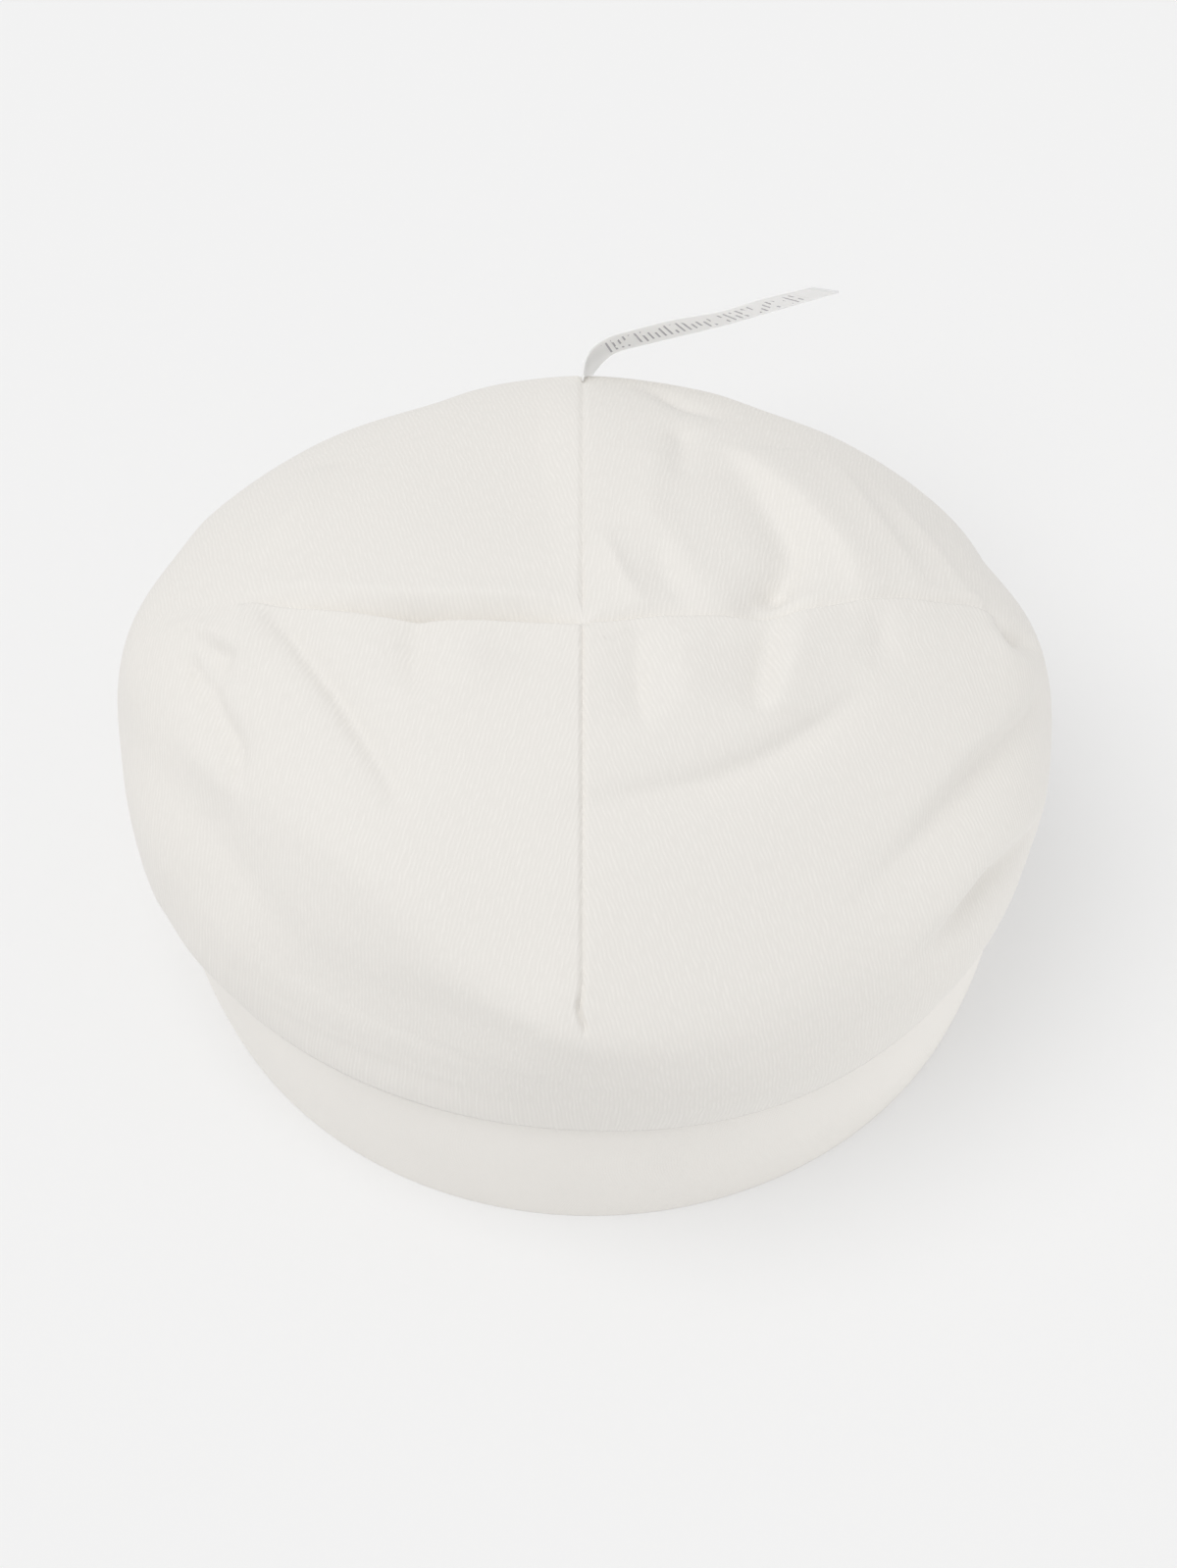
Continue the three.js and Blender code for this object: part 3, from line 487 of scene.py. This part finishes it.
def lay_cloth(cloth, column, row, surface, cut):
    """Moves a flat cloth's points to a surface, given by column and row, and writes the cut's own measures,
    in millimetres across and along, to its UV map. cut takes the column of each corner's face too."""
    mesh = cloth.data
    mesh.vertices.foreach_set("co", ((surface[column, row] + CROSSING) * MM).astype(np.float32).ravel())
    corner_point = np.empty(len(mesh.loops), np.int32)
    mesh.loops.foreach_get("vertex_index", corner_point)
    face_column = column[corner_point].reshape(-1, 4).min(axis=1).repeat(4)
    measures = cut(face_column, column[corner_point], row[corner_point])
    layer = mesh.uv_layers[0]
    layer.name = "cut"
    layer.data.foreach_set("uv", measures.astype(np.float32).ravel())
    mesh.update()


def close_cloth(cloth, thickness, offset, inner_share=1.0):
    """Sews the cloth's meeting edges together, turns its faces outwards and gives it its thickness. Where the
    inner face keeps only a share of its triangles, it is first smoothed, so that it doesn't cross itself."""
    deselect()
    cloth.select_set(True)
    bpy.context.view_layer.objects.active = cloth
    bpy.ops.object.mode_set(mode="EDIT")
    bpy.ops.mesh.select_all(action="SELECT")
    bpy.ops.mesh.remove_doubles(threshold=SEWN_WITHIN * MM)
    bpy.ops.mesh.normals_make_consistent(inside=False)
    bpy.ops.object.mode_set(mode="OBJECT")
    outer_faces = len(cloth.data.polygons)
    ply = cloth.modifiers.new("ply", "SOLIDIFY")
    ply.thickness = thickness * MM
    ply.offset = offset
    ply.use_rim = True
    bpy.ops.object.modifier_apply(modifier=ply.name)
    if inner_share < 1:
        is_inner = np.arange(len(cloth.data.polygons)) // outer_faces == 1
        bpy.ops.object.mode_set(mode="EDIT")
        bpy.ops.mesh.select_mode(type="FACE")
        bpy.ops.mesh.select_all(action="DESELECT")
        bpy.ops.object.mode_set(mode="OBJECT")
        cloth.data.polygons.foreach_set("select", is_inner)
        bpy.ops.object.mode_set(mode="EDIT")
        bpy.ops.mesh.select_less()
        bpy.ops.mesh.vertices_smooth(factor=0.5, repeat=INNER_SMOOTHING)
        bpy.ops.mesh.select_more()
        bpy.ops.mesh.decimate(ratio=inner_share)
        bpy.ops.object.mode_set(mode="OBJECT")
    bpy.ops.object.shade_smooth()


def running_length(points, axis):
    """Lengths along lines of points, from the start of each."""
    steps = np.linalg.norm(np.diff(points, axis=axis), axis=-1)
    start = np.zeros_like(np.take(steps, [0], axis=axis))
    return np.concatenate([start, np.cumsum(steps, axis=axis)], axis=axis)


def make_crown():
    levels = row_levels()
    turns = column_turns(levels)
    cloth, column, row = flat_cloth("crown_cloth", *turns.shape)
    surface = cloth_point(turns, levels[None, :])
    surface[-1] = surface[0]
    surface[:, -1] = surface[:, -1].mean(axis=0)
    plain = crown_point(turns, levels[None, :])
    downhill = plain[:, ::-1]
    fallen = (running_length(downhill, axis=1) - running_length(downhill[..., :2], axis=1))[:, ::-1]
    headings = np.radians(list(WALE_HEADINGS.values()))

    def cut(face_column, corner_column, corner_row):
        """Measures across and along the wales: as seen from above, and on down the sides."""
        side_power = 3  # odd, so that each side keeps its sign
        heading = headings[face_column // COLUMNS_PER_PANEL]
        x, y, _ = plain[corner_column, corner_row].T
        fall = fallen[corner_column, corner_row]
        facing = np.radians(turns[corner_column, corner_row]) - heading
        across = x * np.cos(heading) + y * np.sin(heading) + fall * np.cos(facing) ** side_power
        along = x * np.sin(heading) - y * np.cos(heading) - fall * np.sin(facing) ** side_power
        return np.stack([across, along], axis=-1)

    lay_cloth(cloth, column, row, surface, cut)
    close_cloth(cloth, CROWN_WALL, -1, INNER_SHARE)
    return cloth


def foot_point(turn):
    """Places round the outer edge of the band's foot."""
    angle = np.radians(turn)
    depth = np.where(np.sin(angle) > 0, FOOT["back"], FOOT["front"])
    x = FOOT["mid_x"] + FOOT["side"] * np.cos(angle)
    return np.stack([x, depth * np.sin(angle), 0 * x], axis=-1)


def band_profile():
    """The folded band's section, as rows of share (0 at the foot, 1 at the hem), rise above it, and inset
    from the outer face: down the inner ply, round the fold at the foot and up the outer ply."""
    inset_out, inset_in = BAND_PLY / 2, BAND_WALL - BAND_PLY / 2
    fold_radius = (inset_in - inset_out) / 2
    straight = np.linspace(BAND_FOLD_SHARE, 1, BAND_STRAIGHT_ROWS)
    bend = np.radians(np.linspace(0, 180, BAND_FOLD_ROWS))
    outer = [(share, 0.0, inset_out) for share in straight] + [(1.0, BAND_TUCK, inset_out)]
    inner = [(share, rise, inset_in) for share, rise, _ in reversed(outer)]
    middle = (inset_out + inset_in) / 2
    lowest = fold_radius + BAND_PLY / 2 - BAND_PRESSED
    fold = [(0.0, lowest - fold_radius * math.sin(a), middle + fold_radius * math.cos(a)) for a in bend]
    return np.array(inner + fold + outer)


def make_band():
    profile = band_profile()
    turns = np.linspace(0, 360, BAND_COLUMNS + 1)
    cloth, column, row = flat_cloth("band_cloth", len(turns), len(profile))
    foot, hem = foot_point(turns), cloth_point(turns, 0.0)
    middle = [SECTIONS[name][0] for name in ("mid_x", "mid_y", "height")]
    outward = crown_point(turns, 0.0) - middle
    outward /= np.linalg.norm(outward, axis=-1, keepdims=True)
    hem = hem - outward * (CROWN_WALL + SEAT_GAP)
    share, rise, inset = profile.T
    swell = BAND_BULGE * np.sin(math.pi * share)
    surface = foot[:, None] * (1 - share)[None, :, None] + hem[:, None] * share[None, :, None]
    surface = surface + outward[:, None] * (swell - inset)[None, :, None]
    surface[..., 2] += rise
    across, along = running_length(surface, axis=0), running_length(surface, axis=1)

    def cut(_, corner_column, corner_row):
        return np.stack([across[corner_column, corner_row], along[corner_column, corner_row]], axis=-1)

    lay_cloth(cloth, column, row, surface, cut)
    close_cloth(cloth, BAND_PLY, 0)
    # The fold is flat where the cap stands on it
    for vertex in cloth.data.vertices:
        vertex.co.z = max(vertex.co.z, 0.0)
    return cloth


def tape_route(steps):
    """The tape's way out from the seam, seen along its width: out, round the bend and on to the right."""
    arc = TAPE["bend"] * math.radians(TAPE["bend_turn"])
    length = TAPE["stand"] + arc + TAPE["run"]
    gone = np.linspace(0, length, steps)
    turned = np.radians(np.clip((gone - TAPE["stand"]) / arc, 0, 1) * TAPE["bend_turn"])
    past = np.maximum(gone - TAPE["stand"] - arc, 0)
    right = TAPE["bend"] * (1 - np.cos(turned)) + past * np.sin(turned)
    out = np.minimum(gone, TAPE["stand"]) + TAPE["bend"] * np.sin(turned) + past * np.cos(turned)
    return gone, right, out


def make_tape():
    levels = np.linspace(TAPE["seam_top"], TAPE["seam_low"], SEAM_SAMPLES)
    seam = cloth_point(90.0, levels, TAPE["root_gap"])
    lengths = np.concatenate([[0.0], np.cumsum(np.linalg.norm(np.diff(seam, axis=0), axis=1))])
    across = np.linspace(0, TAPE["width"], TAPE_COLUMNS)
    roots = np.stack([np.interp(across, lengths, seam[:, axis]) for axis in range(3)], axis=-1)
    gone, right, out = tape_route(TAPE_STEPS)
    chord = roots[-1] - roots[0]
    root_tilt = math.atan2(-chord[2], chord[1])
    tilt_at, tilts = zip((0, math.degrees(root_tilt)), *TAPE_TILT)
    tilt = np.radians(np.interp(gone, tilt_at, tilts))
    width_way = np.stack([np.interp(gone, *zip(*TAPE_LEAN)), np.cos(tilt), -np.sin(tilt)], axis=-1)
    width_way /= np.linalg.norm(width_way, axis=-1, keepdims=True)
    outward = np.array([0, math.sin(root_tilt), math.cos(root_tilt)])
    straight = smooth_step(gone, 0, TAPE_STRAIGHTENS)
    middle = (roots[0] + roots[-1]) / 2
    flat = middle + (across - TAPE["width"] / 2)[None, :, None] * width_way[:, None]
    surface = roots[None] * (1 - straight)[:, None, None] + flat * straight[:, None, None]
    surface[..., 0] += right[:, None]
    sag = TAPE_SAG * np.exp(-((gone - TAPE_SAG_AT) / TAPE_SAG_LENGTH) ** 2)
    surface += (out[:, None] - sag[:, None] * (1 - across / TAPE["width"])[None])[..., None] * outward
    cloth, column, row = flat_cloth("care_tape", TAPE_STEPS, TAPE_COLUMNS)

    def cut(_, corner_column, corner_row):
        return np.stack([gone[corner_column], across[corner_row]], axis=-1)

    lay_cloth(cloth, column, row, surface, cut)
    close_cloth(cloth, TAPE_THICKNESS, 0)
    return cloth


def linear(hex_colour):
    """An sRGB hex colour as linear red, green, blue and alpha."""
    channels = [int(hex_colour[start:start + 2], 16) / 255 for start in (1, 3, 5)]
    return [c / 12.92 if c <= 0.04045 else ((c + 0.055) / 1.055) ** 2.4 for c in channels] + [1.0]


def add_node(tree, kind, settings=None, inputs=None):
    """Adds a node, sets its properties and fills its inputs, each with a value or another node's output."""
    node = tree.nodes.new(kind)
    for name, value in (settings or {}).items():
        setattr(node, name, value)
    for name, value in (inputs or {}).items():
        if isinstance(value, bpy.types.NodeSocket):
            tree.links.new(value, node.inputs[name])
        else:
            node.inputs[name].default_value = value
    return node


def new_material(name, sockets):
    """A new material with a principled shader whose constant values are set on its own sockets."""
    material = bpy.data.materials.new(name)
    material.use_nodes = True
    shader = material.node_tree.nodes["Principled BSDF"]
    for socket, value in sockets.items():
        shader.inputs[socket].default_value = value
    return material, material.node_tree, shader


def wave(tree, measure, pitch):
    """A wave from 0 to 1 along a measure in millimetres, with a crest at each pitch."""
    angle = add_node(tree, "ShaderNodeMath", {"operation": "MULTIPLY"}, {0: measure, 1: 2 * math.pi / pitch})
    cosine = add_node(tree, "ShaderNodeMath", {"operation": "COSINE"}, {0: angle.outputs[0]})
    half = add_node(tree, "ShaderNodeMath", {"operation": "MULTIPLY_ADD"}, {
        0: cosine.outputs[0], 1: 0.5, 2: 0.5,
    })
    return half.outputs[0]


def rib_jersey():
    """Fine one by one rib knitted of off-white combed cotton: matt, with close wales that catch the light as
    faint lines and a slight bloom of loose fibre. Its colour is painted darker between the wales and lighter
    on them, as painted shade in the rib's grooves, over the yarn's own cloudy tone."""
    wale_pitch, wale_height = 0.77, 0.042
    # The wales run a little unevenly, by so much over such a length
    wander, wander_length = 0.9, 3.333
    # They stand out more or less in patches of this size, between these two values of the noise
    patch_width, patch_length = 0.909, 2.222
    patch_faint, patch_full = 0.25, 0.65
    # The yarn's tone is a little cloudy
    cloud_size, cloud_tone, even_tone = 30.0, 0.3, 0.5
    material, tree, shader = new_material("fine rib cotton jersey", {
        "Roughness": 0.95, "Specular IOR Level": 0.15, "Sheen Weight": 0.2, "Sheen Roughness": 0.5,
    })
    cut = add_node(tree, "ShaderNodeUVMap", {"uv_map": "cut"})
    measure = add_node(tree, "ShaderNodeSeparateXYZ", inputs={0: cut.outputs[0]})
    wandering = add_node(tree, "ShaderNodeTexNoise", inputs={
        "Vector": cut.outputs[0], "Scale": 1 / wander_length, "Detail": 1.0,
    })
    across = add_node(tree, "ShaderNodeMath", {"operation": "MULTIPLY_ADD"}, {
        0: wandering.outputs[0], 1: wander, 2: measure.outputs["X"],
    })
    patches = add_node(tree, "ShaderNodeMapping", inputs={
        "Vector": cut.outputs[0], "Scale": (1 / patch_width, 1 / patch_length, 1.0),
    })
    uneven = add_node(tree, "ShaderNodeTexNoise", inputs={
        "Vector": patches.outputs[0], "Scale": 1.0, "Detail": 1.0,
    })
    raised = add_node(tree, "ShaderNodeMapRange", inputs={
        "Value": uneven.outputs[0], "From Min": patch_faint, "From Max": patch_full,
    })
    lines = wave(tree, across.outputs[0], wale_pitch)
    wales = add_node(tree, "ShaderNodeMath", {"operation": "MULTIPLY"}, {0: lines, 1: raised.outputs[0]})
    bump = add_node(tree, "ShaderNodeBump", inputs={
        "Strength": 1.0, "Distance": wale_height * MM, "Height": wales.outputs[0],
    })
    place = add_node(tree, "ShaderNodeTexCoord")
    cloudy = add_node(tree, "ShaderNodeTexNoise", inputs={
        "Vector": place.outputs["Object"], "Scale": 1 / (cloud_size * MM), "Detail": 3.0,
    })
    tone = add_node(tree, "ShaderNodeMath", {"operation": "MULTIPLY_ADD"}, {
        0: cloudy.outputs[0], 1: cloud_tone, 2: even_tone,
    })
    # Painted shade: the colour darkens in the grooves between the wales and lightens on their crests, mixed
    # with the yarn's own cloudy tone
    groove_shade_and_cloud = add_node(tree, "ShaderNodeMath", {"operation": "MULTIPLY"}, {
        0: tone.outputs[0], 1: wales.outputs[0],
    })
    colour = add_node(tree, "ShaderNodeMix", {"data_type": "RGBA"}, {
        "Factor": groove_shade_and_cloud.outputs[0], MIX_FIRST: linear("#eae7e2"), MIX_SECOND: linear("#f3f0eb"),
    })
    tree.links.new(colour.outputs[MIX_RESULT], shader.inputs["Base Color"])
    tree.links.new(bump.outputs[0], shader.inputs["Normal"])
    return material


def smooth_jersey():
    """Smooth single jersey of the same cotton, folded double: flatter and closer than the rib, so it takes
    the light evenly, with only a faint grain."""
    stitch_pitch, stitch_height = 0.5, 0.02
    cloud_size = 18.0
    material, tree, shader = new_material("smooth cotton jersey", {
        "Roughness": 0.95, "Specular IOR Level": 0.15, "Sheen Weight": 0.12, "Sheen Roughness": 0.5,
    })
    cut = add_node(tree, "ShaderNodeUVMap", {"uv_map": "cut"})
    measure = add_node(tree, "ShaderNodeSeparateXYZ", inputs={0: cut.outputs[0]})
    wales = wave(tree, measure.outputs["X"], stitch_pitch)
    courses = wave(tree, measure.outputs["Y"], stitch_pitch)
    grain = add_node(tree, "ShaderNodeMath", {"operation": "MULTIPLY"}, {0: wales, 1: courses})
    bump = add_node(tree, "ShaderNodeBump", inputs={
        "Strength": 1.0, "Distance": stitch_height * MM, "Height": grain.outputs[0],
    })
    place = add_node(tree, "ShaderNodeTexCoord")
    cloudy = add_node(tree, "ShaderNodeTexNoise", inputs={
        "Vector": place.outputs["Object"], "Scale": 1 / (cloud_size * MM), "Detail": 4.0,
    })
    colour = add_node(tree, "ShaderNodeMix", {"data_type": "RGBA"}, {
        "Factor": cloudy.outputs[0], MIX_FIRST: linear("#f0ede8"), MIX_SECOND: linear("#f5f2ed"),
    })
    tree.links.new(colour.outputs[MIX_RESULT], shader.inputs["Base Color"])
    tree.links.new(bump.outputs[0], shader.inputs["Normal"])
    return material


def satin_tape():
    """Thin woven polyester tape: whiter and a little glossier than the cotton, so thin that light comes
    through it, with plain grey printed bars across it that stand for no words."""
    light_depth = 1.0
    # A bar stands at each pitch, where the wave is over its edge, and patches of this size are left blank
    bar_pitch, bar_edge = 1.15, 0.76
    blank_length, blank_width, blank_edge = 2.0, 9.09, 0.49
    # The print keeps to this part of the tape's length and width
    printed_part = (("X", 9.0, 47.0), ("Y", 4.0, 20.0))
    material, tree, shader = new_material("woven polyester tape", {
        "Roughness": 0.7, "Specular IOR Level": 0.1,
        "Subsurface Weight": 1.0, "Subsurface Radius": (1, 1, 1), "Subsurface Scale": light_depth * MM,
    })
    cut = add_node(tree, "ShaderNodeUVMap", {"uv_map": "cut"})
    measure = add_node(tree, "ShaderNodeSeparateXYZ", inputs={0: cut.outputs[0]})
    bars = wave(tree, measure.outputs["X"], bar_pitch)
    printed = add_node(tree, "ShaderNodeMath", {"operation": "GREATER_THAN"}, {0: bars, 1: bar_edge})
    patches = add_node(tree, "ShaderNodeMapping", inputs={
        "Vector": cut.outputs[0], "Scale": (1 / blank_length, 1 / blank_width, 1.0),
    })
    uneven = add_node(tree, "ShaderNodeTexNoise", inputs={
        "Vector": patches.outputs[0], "Scale": 1.0, "Detail": 0.0,
    })
    kept = add_node(tree, "ShaderNodeMath", {"operation": "GREATER_THAN"}, {
        0: uneven.outputs[0], 1: blank_edge,
    })
    ink = add_node(tree, "ShaderNodeMath", {"operation": "MULTIPLY"}, {
        0: printed.outputs[0], 1: kept.outputs[0],
    })
    for way, start, end in printed_part:
        for operation, limit in (("GREATER_THAN", start), ("LESS_THAN", end)):
            within = add_node(tree, "ShaderNodeMath", {"operation": operation}, {
                0: measure.outputs[way], 1: limit,
            })
            ink = add_node(tree, "ShaderNodeMath", {"operation": "MULTIPLY"}, {
                0: ink.outputs[0], 1: within.outputs[0],
            })
    colour = add_node(tree, "ShaderNodeMix", {"data_type": "RGBA"}, {
        "Factor": ink.outputs[0], MIX_FIRST: linear("#fcfcfa"), MIX_SECOND: linear("#acaaae"),
    })
    tree.links.new(colour.outputs[MIX_RESULT], shader.inputs["Base Color"])
    return material


def make_floor():
    """A pale seamless table top. It glows a little, as a well lit sweep does, which keeps its
    shadows light."""
    deselect()
    bpy.ops.mesh.primitive_plane_add(size=FLOOR_SIDE * MM, location=(0, 0, 0))
    floor = bpy.context.object
    floor.name = "floor"
    material, _, _ = new_material("pale matt sweep", {
        "Base Color": linear("#d4d4d4"), "Roughness": 1.0, "Specular IOR Level": 0.0,
        "Emission Color": linear("#ffffff"), "Emission Strength": FLOOR_GLOW,
    })
    floor.data.materials.append(material)
    return floor


def make_light(floor):
    """A soft surround that is brighter overhead than at the horizon, a broad key light from above, and a low
    card that leaves the floor alone."""
    world = bpy.data.worlds.new("studio")
    world.use_nodes = True
    tree = world.node_tree
    way = add_node(tree, "ShaderNodeTexCoord")
    parts = add_node(tree, "ShaderNodeSeparateXYZ", inputs={0: way.outputs["Generated"]})
    strength = add_node(tree, "ShaderNodeMath", {"operation": "MULTIPLY_ADD"}, {
        0: parts.outputs["Z"], 1: SURROUND_RISE, 2: SURROUND,
    })
    background = tree.nodes["Background"]
    background.inputs["Color"].default_value = linear("#ffffff")
    tree.links.new(strength.outputs[0], background.inputs["Strength"])
    bpy.context.scene.world = world
    deselect()
    bpy.ops.object.light_add(type="SUN", location=-Vector(KEY_HEADING))
    key = bpy.context.object
    key.name = "key"
    key.data.energy = KEY_ENERGY
    key.data.angle = math.radians(KEY_SPREAD)
    key.rotation_euler = Vector(KEY_HEADING).to_track_quat("-Z", "Y").to_euler()
    deselect()
    bpy.ops.object.light_add(type="AREA", location=Vector(CARD_PLACE) * MM)
    card = bpy.context.object
    card.name = "card"
    card.data.shape = "RECTANGLE"
    card.data.size, card.data.size_y = (side * MM for side in CARD_SIZE)
    card.data.energy = CARD_ENERGY
    card.rotation_euler = Vector((-CARD_PLACE[0], -CARD_PLACE[1], 0)).to_track_quat("-Z", "Y").to_euler()
    card.visible_camera = False
    unlit = bpy.data.collections.new("unlit by the card")
    unlit.objects.link(floor)
    unlit.collection_objects[0].light_linking.link_state = "EXCLUDE"
    card.light_linking.receiver_collection = unlit


def make_camera():
    elevation = math.radians(VIEW_ELEVATION)
    target = Vector((np.array(VIEW_TARGET) + CROSSING) * MM)
    back = Vector((0, -math.cos(elevation), math.sin(elevation)))
    deselect()
    bpy.ops.object.camera_add(location=target + back * VIEW_DISTANCE * MM)
    camera = bpy.context.object
    camera.rotation_euler = (-back).to_track_quat("-Z", "Y").to_euler()
    camera.data.sensor_width = SENSOR_WIDTH
    longer_side = max(PHOTO_WIDTH, PHOTO_HEIGHT)
    camera.data.lens = VIEW_DISTANCE / VIEW_MM_PER_PIXEL * SENSOR_WIDTH / longer_side
    bpy.context.scene.camera = camera
    bpy.context.scene.view_settings.view_transform = "Standard"


def dress(piece, node, material):
    """Puts a cloth piece in its node's place, with its material."""
    piece.data.materials.clear()
    piece.data.materials.append(material)
    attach(piece, "root")
    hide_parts(node)


make_camera()
make_light(make_floor())

crown = make_crown()
dress(crown, "crown", rib_jersey())

band = make_band()
dress(band, "band", smooth_jersey())

tape = make_tape()
dress(tape, "label", satin_tape())

bpy.context.view_layer.update()
